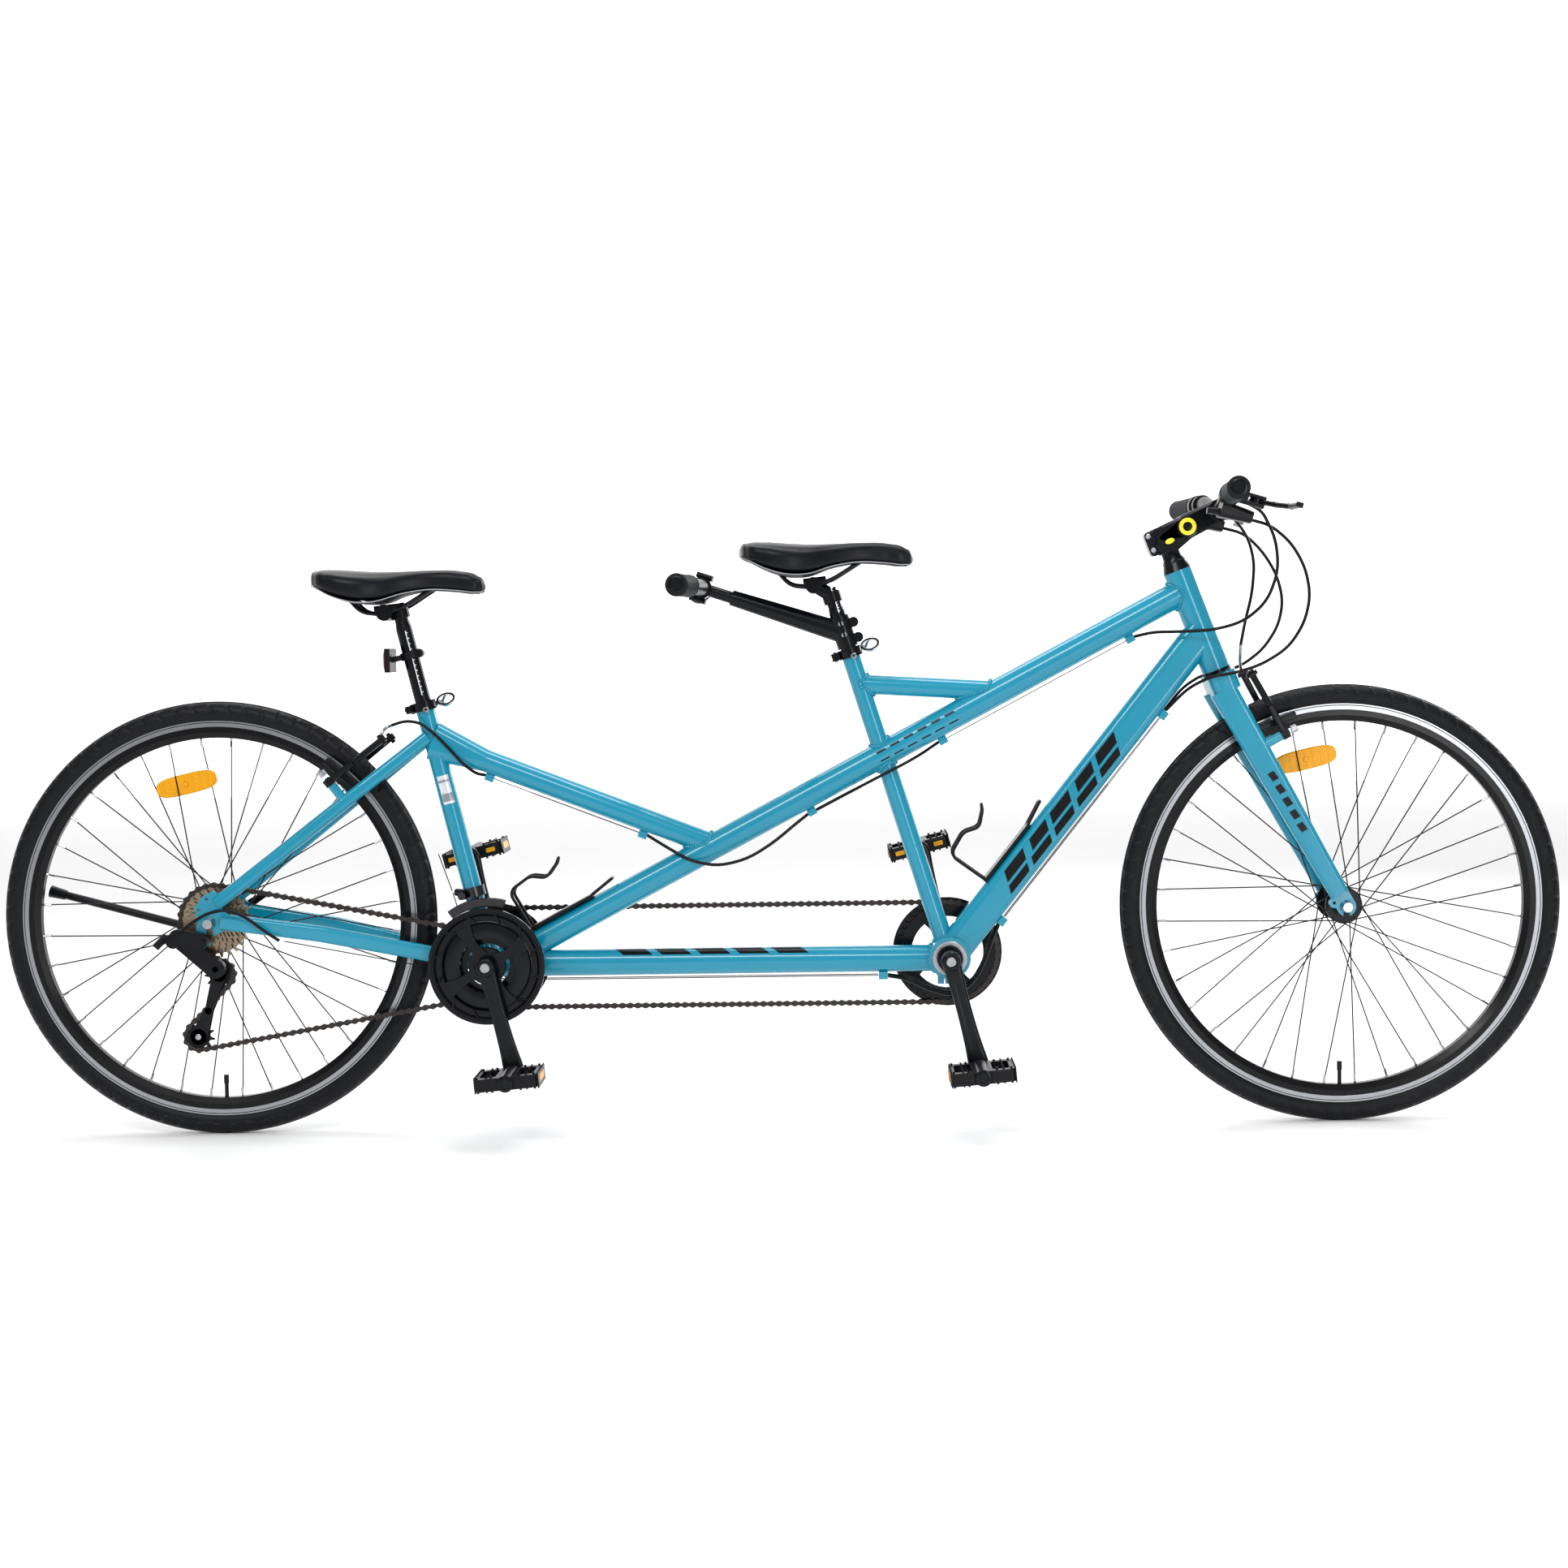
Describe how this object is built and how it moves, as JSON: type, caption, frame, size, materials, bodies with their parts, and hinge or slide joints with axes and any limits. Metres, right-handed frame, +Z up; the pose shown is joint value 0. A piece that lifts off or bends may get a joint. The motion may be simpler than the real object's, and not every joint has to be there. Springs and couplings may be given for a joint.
{
  "type": "tandem bicycle",
  "caption": "Two-seat tandem bicycle with a tubular frame, spoked wheels, rim brakes, linked cranks, gears, saddles and handlebars for both riders.",
  "frame": {"origin": "on the ground, midway between the tyres' front and back ends and on the middle plane of the wheels", "axes": "+X forward, +Y the riders' left, +Z up"},
  "size_m": [2.4752, 0.6026, 1.0026],
  "materials": {
    "cyan_paint": "gloss",
    "black_paint": "gloss",
    "black_plastic": "satin",
    "black_rubber": "matte",
    "tyre_rubber": "matte",
    "saddle_cover": "satin",
    "rim_alloy": "satin",
    "alloy": "satin",
    "steel": "satin",
    "dark_steel": "satin",
    "cable_black": "satin"
  },
  "bodies": {
    "frame": {"frame_tubes": "cyan_paint", "bracket_shells": "cyan_paint", "rear_stays": "cyan_paint", "rear_dropouts": "black_paint", "bearing_cups": "black_paint", "bottle_cages": "black_paint", "seat_collars": "black_paint", "frame_cables": "cable_black", "rear_derailleur": "black_paint", "front_derailleur": "steel", "rear_axle": "steel", "drive_chain": "dark_steel", "timing_chain": "dark_steel"},
    "steering": {"fork": "cyan_paint", "stem": "black_paint", "handlebar": "black_paint", "handlebar_grips": "black_rubber", "control_pods": "black_plastic", "front_cables": "cable_black", "front_axle": "steel"},
    "front_wheel": {"front_tyre": "tyre_rubber", "front_rim": "rim_alloy", "front_spokes": "steel", "front_hub": "alloy"},
    "rear_wheel": {"rear_tyre": "tyre_rubber", "rear_rim": "rim_alloy", "rear_spokes": "steel", "rear_hub": "alloy"},
    "freewheel": {"cassette": "dark_steel"},
    "stoker_crankset": {"stoker_cranks": "black_paint", "chainrings": "black_paint", "rear_timing_ring": "black_paint"},
    "captain_crankset": {"captain_cranks": "black_paint", "front_timing_ring": "black_paint"},
    "captain_seat": {"captain_seatpost": "black_paint", "captain_saddle": "saddle_cover", "stoker_stem": "black_paint", "stoker_handlebar": "black_paint", "stoker_grips": "black_rubber"},
    "stoker_seat": {"stoker_seatpost": "black_paint", "stoker_saddle": "saddle_cover", "rear_reflector": "black_plastic"},
    "brake_lever_left_body": {"brake_lever_left": "black_paint"},
    "brake_lever_right_body": {"brake_lever_right": "black_paint"},
    "front_brake_arm_left_body": {"front_brake_arm_left": "black_paint"},
    "front_brake_arm_right_body": {"front_brake_arm_right": "black_paint"},
    "rear_brake_arm_left_body": {"rear_brake_arm_left": "black_paint"},
    "rear_brake_arm_right_body": {"rear_brake_arm_right": "black_paint"},
    "stoker_pedal_right_body": {"stoker_pedal_right": "black_plastic"},
    "stoker_pedal_left_body": {"stoker_pedal_left": "black_plastic"},
    "captain_pedal_right_body": {"captain_pedal_right": "black_plastic"},
    "captain_pedal_left_body": {"captain_pedal_left": "black_plastic"},
    "derailleur_cage_body": {"derailleur_cage": "black_paint"},
    "guide_pulley_body": {"guide_pulley": "black_plastic"},
    "tension_pulley_body": {"tension_pulley": "black_plastic"},
    "kickstand_body": {"kickstand": "black_paint"},
    "captain_seat_lever_body": {"captain_seat_lever": "steel"},
    "stoker_seat_lever_body": {"stoker_seat_lever": "steel"},
    "front_axle_lever_body": {"front_axle_lever": "black_paint"},
    "rear_axle_lever_body": {"rear_axle_lever": "black_paint"}
  },
  "joints": [
    {"name": "steer", "type": "hinge", "parent": "frame", "child": "steering", "pos_m": [0.6982, 0, 0.7199], "axis": [-0.3568, 0, 0.9342], "range_deg": [-55, 55], "deforming": ["front_cables"]},
    {"name": "front_wheel_spin", "type": "hinge", "parent": "steering", "child": "front_wheel", "pos_m": [0.8906, 0, 0.347], "axis": [0, 1, 0], "continuous": true},
    {"name": "rear_wheel_spin", "type": "hinge", "parent": "frame", "child": "rear_wheel", "pos_m": [-0.8906, 0, 0.347], "axis": [0, 1, 0], "continuous": true},
    {"name": "crank_spin", "type": "hinge", "parent": "frame", "child": "stoker_crankset", "pos_m": [-0.4582, 0, 0.271], "axis": [0, 1, 0], "continuous": true, "deforming": ["drive_chain", "timing_chain"]},
    {"name": "captain_crank_spin", "type": "hinge", "parent": "frame", "child": "captain_crankset", "pos_m": [0.27205, 0, 0.271], "axis": [0, 1, 0], "continuous": true, "deforming": ["timing_chain"]},
    {"name": "freewheel_spin", "type": "hinge", "parent": "frame", "child": "freewheel", "pos_m": [-0.8906, 0, 0.347], "axis": [0, 1, 0], "continuous": true, "deforming": ["drive_chain"]},
    {"name": "cage_swing", "type": "hinge", "parent": "frame", "child": "derailleur_cage_body", "pos_m": [-0.886, 0, 0.273], "axis": [0, 1, 0], "range_deg": [-30, 12], "stiffness_Nm_per_rad": 0.6, "deforming": ["drive_chain"]},
    {"name": "guide_pulley_spin", "type": "hinge", "parent": "derailleur_cage_body", "child": "guide_pulley_body", "pos_m": [-0.886, 0, 0.261], "axis": [0, 1, 0], "continuous": true, "deforming": ["drive_chain"]},
    {"name": "tension_pulley_spin", "type": "hinge", "parent": "derailleur_cage_body", "child": "tension_pulley_body", "pos_m": [-0.92199, 0, 0.1625], "axis": [0, 1, 0], "continuous": true, "deforming": ["drive_chain"]},
    {"name": "stoker_pedal_right_spin", "type": "hinge", "parent": "stoker_crankset", "child": "stoker_pedal_right_body", "pos_m": [-0.41621, 0, 0.10627], "axis": [0, 1, 0], "continuous": true},
    {"name": "stoker_pedal_left_spin", "type": "hinge", "parent": "stoker_crankset", "child": "stoker_pedal_left_body", "pos_m": [-0.50019, 0, 0.43573], "axis": [0, 1, 0], "continuous": true},
    {"name": "captain_pedal_right_spin", "type": "hinge", "parent": "captain_crankset", "child": "captain_pedal_right_body", "pos_m": [0.31404, 0, 0.10627], "axis": [0, 1, 0], "continuous": true},
    {"name": "captain_pedal_left_spin", "type": "hinge", "parent": "captain_crankset", "child": "captain_pedal_left_body", "pos_m": [0.23006, 0, 0.43573], "axis": [0, 1, 0], "continuous": true},
    {"name": "left_brake_pull", "type": "hinge", "parent": "steering", "child": "brake_lever_left_body", "pos_m": [0.73477, 0.1563, 0.97352], "axis": [0.2924, 0, 0.9563], "range_deg": [0, 22], "stiffness_Nm_per_rad": 0.6, "deforming": ["front_cables"]},
    {"name": "right_brake_pull", "type": "hinge", "parent": "steering", "child": "brake_lever_right_body", "pos_m": [0.73477, -0.1563, 0.97352], "axis": [-0.2924, 0, -0.9563], "range_deg": [0, 22], "stiffness_Nm_per_rad": 0.6, "deforming": ["front_cables"]},
    {"name": "rear_brake_arm_right_swing", "type": "hinge", "parent": "frame", "child": "rear_brake_arm_right_body", "pos_m": [-0.70233, -0.0425, 0.565], "axis": [-0.6132, 0, 0.7899], "range_deg": [0, 4.1], "stiffness_Nm_per_rad": 0.3},
    {"name": "rear_brake_arm_left_swing", "type": "hinge", "parent": "frame", "child": "rear_brake_arm_left_body", "pos_m": [-0.70233, 0.0425, 0.565], "axis": [-0.6132, 0, 0.7899], "range_deg": [-4.1, 0], "stiffness_Nm_per_rad": 0.3},
    {"name": "front_brake_arm_right_swing", "type": "hinge", "parent": "steering", "child": "front_brake_arm_right_body", "pos_m": [0.7979, -0.0445, 0.61867], "axis": [0.8792, 0, 0.4765], "range_deg": [-4.1, 0], "stiffness_Nm_per_rad": 0.3},
    {"name": "front_brake_arm_left_swing", "type": "hinge", "parent": "steering", "child": "front_brake_arm_left_body", "pos_m": [0.7979, 0.0445, 0.61867], "axis": [0.8792, 0, 0.4765], "range_deg": [0, 4.1], "stiffness_Nm_per_rad": 0.3},
    {"name": "captain_seat_height", "type": "slide", "parent": "frame", "child": "captain_seat", "axis": [-0.2967, 0, 0.955], "range_m": [0, 0.12]},
    {"name": "stoker_seat_height", "type": "slide", "parent": "frame", "child": "stoker_seat", "axis": [-0.2327, 0, 0.9726], "range_m": [-0.05, 0.1]},
    {"name": "captain_seat_lever_turn", "type": "hinge", "parent": "frame", "child": "captain_seat_lever_body", "pos_m": [0.09863, 0.0245, 0.74835], "axis": [-0.2967, 0, 0.955], "range_deg": [0, 140]},
    {"name": "stoker_seat_lever_turn", "type": "hinge", "parent": "frame", "child": "stoker_seat_lever_body", "pos_m": [-0.57969, 0.0245, 0.67566], "axis": [-0.2327, 0, 0.9726], "range_deg": [0, 140]},
    {"name": "front_axle_lever_turn", "type": "hinge", "parent": "steering", "child": "front_axle_lever_body", "pos_m": [0.8906, 0, 0.347], "axis": [0, 1, 0], "range_deg": [0, 100]},
    {"name": "rear_axle_lever_turn", "type": "hinge", "parent": "frame", "child": "rear_axle_lever_body", "pos_m": [-0.8906, 0, 0.347], "axis": [0, 1, 0], "range_deg": [-100, 0]},
    {"name": "kickstand_fold", "type": "hinge", "parent": "frame", "child": "kickstand_body", "pos_m": [-0.905, 0.088, 0.306], "axis": [0, -1, 0], "range_deg": [0, 100]}
  ],
  "couplings": [
    {"joint": "captain_crank_spin", "follows": "crank_spin", "ratio": 1},
    {"joint": "freewheel_spin", "follows": "crank_spin", "ratio": 0.85714},
    {"joint": "guide_pulley_spin", "follows": "crank_spin", "ratio": -2.1818},
    {"joint": "tension_pulley_spin", "follows": "crank_spin", "ratio": 2.1818},
    {"joint": "rear_brake_arm_right_swing", "follows": "right_brake_pull", "ratio": 0.18182},
    {"joint": "rear_brake_arm_left_swing", "follows": "right_brake_pull", "ratio": -0.18182},
    {"joint": "front_brake_arm_right_swing", "follows": "left_brake_pull", "ratio": -0.18182},
    {"joint": "front_brake_arm_left_swing", "follows": "left_brake_pull", "ratio": 0.18182}
  ]
}
